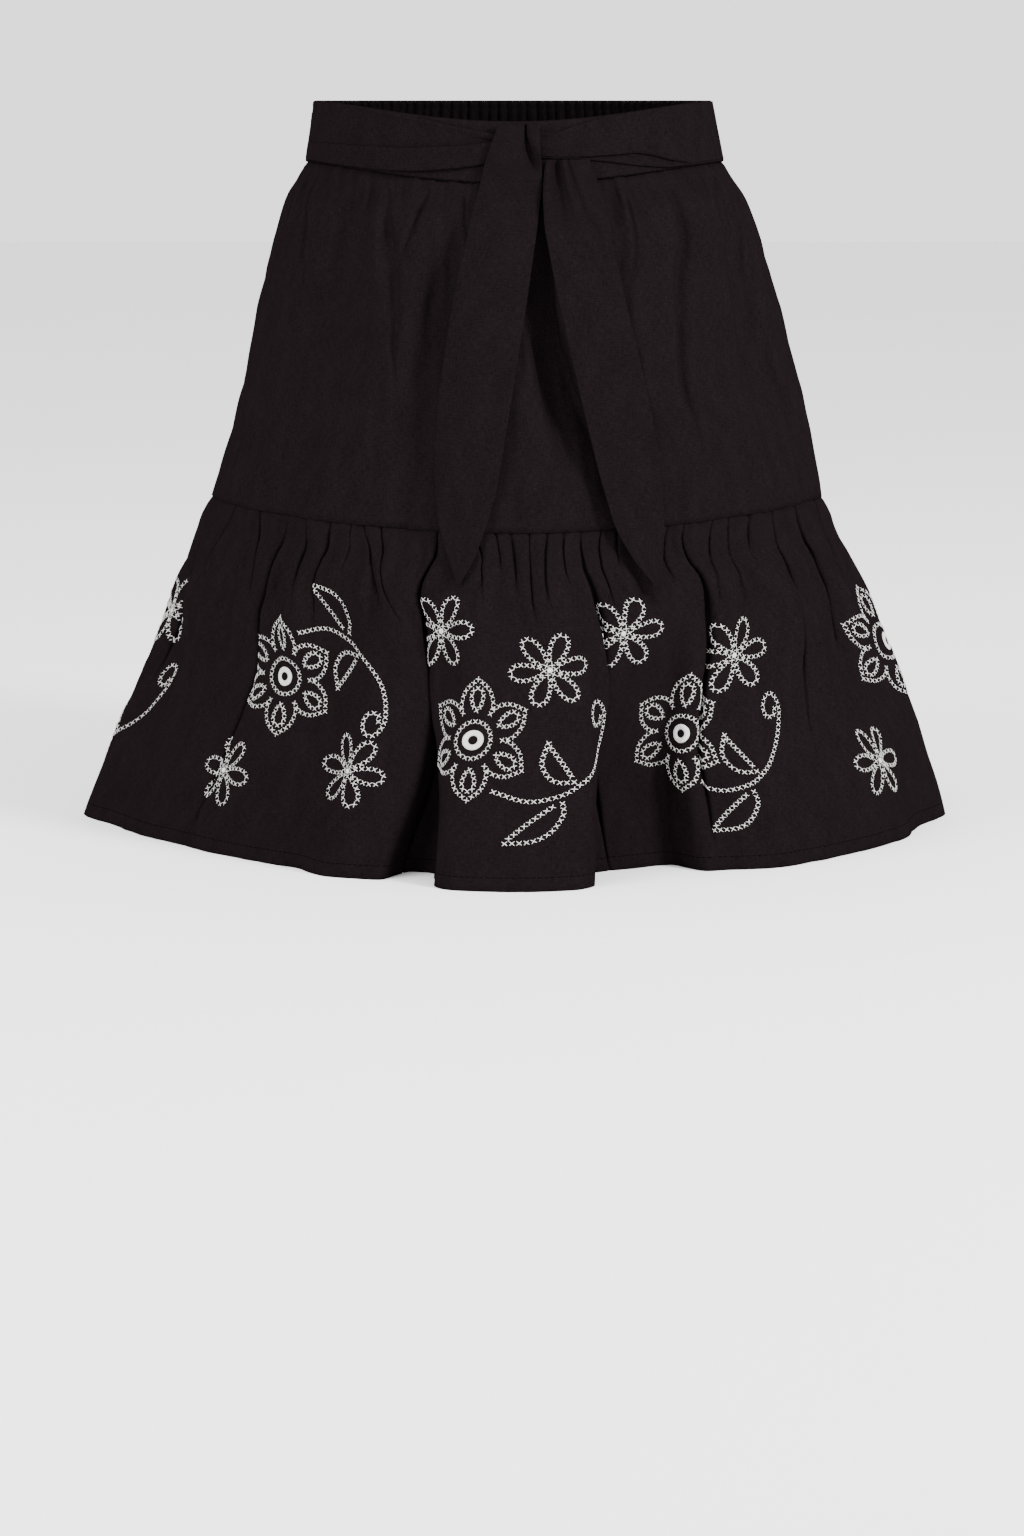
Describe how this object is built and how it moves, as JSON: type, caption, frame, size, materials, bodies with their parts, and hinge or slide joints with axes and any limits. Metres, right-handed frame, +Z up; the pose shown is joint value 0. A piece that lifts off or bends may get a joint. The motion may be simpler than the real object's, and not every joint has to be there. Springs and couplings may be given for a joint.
{
  "type": "mini skirt",
  "caption": "Tiered cotton mini skirt held open as worn, with a flat and elasticated waistband, A-line upper, gathered ruffle and a tie sash knotted in front.",
  "frame": {"origin": "middle of the waist, level with the waistband's top edge at the side seams, where the wearer's waist holds the skirt", "axes": "+Z up out of the waist opening; -Y towards the front with the knot; +X to the right as the front is looked at"},
  "size_m": [0.5715, 0.4732, 0.4646],
  "materials": {
    "cotton": "plain-woven dark brown-black cotton, matt with a faint soft sheen",
    "elastic_band": "the same cotton, finely ribbed over an elastic",
    "sash": "the same cotton, doubled and pressed",
    "embroidery": "white cotton embroidery thread in cross stitch and satin stitch"
  },
  "bodies": {
    "root": {"waistband_front": "cotton", "waistband_back": "elastic_band", "upper_front": "cotton", "upper_back": "cotton", "ruffle_front": "cotton", "ruffle_back": "cotton", "sash_left": "sash", "sash_right": "sash", "sash_knot": "sash", "sash_end_left": "sash", "sash_end_right": "sash"}
  },
  "joints": []
}
